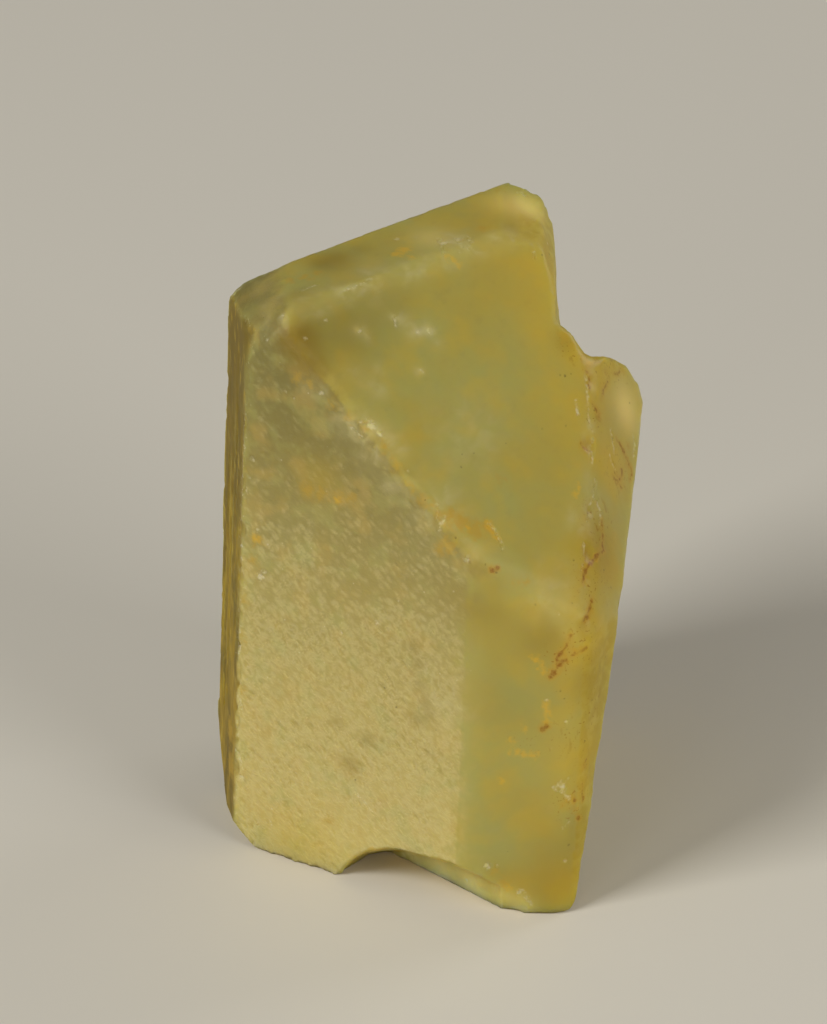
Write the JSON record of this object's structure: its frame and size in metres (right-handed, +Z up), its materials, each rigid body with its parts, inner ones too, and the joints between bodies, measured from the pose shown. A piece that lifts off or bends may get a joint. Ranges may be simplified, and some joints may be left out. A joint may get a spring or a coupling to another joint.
{
  "type": "raw topaz crystal",
  "caption": "Rough prismatic topaz crystal with an etched front face, a sloping glassy face, a side lobe and a flat cleaved foot to stand on.",
  "frame": {"origin": "centre of the crystal's bounding box, at the level of its foot", "axes": "+Z up along the crystal, near its growth axis; -Y towards the viewer, where the front edge is; +X to the viewer's right"},
  "size_m": [0.027, 0.0266, 0.0388],
  "materials": {
    "topaz": "translucent pale yellow-green crystal, glassy on the growth faces, matte where etched, with iron-stained cracks"
  },
  "bodies": {
    "root": {"topaz_crystal": "topaz"}
  },
  "joints": []
}
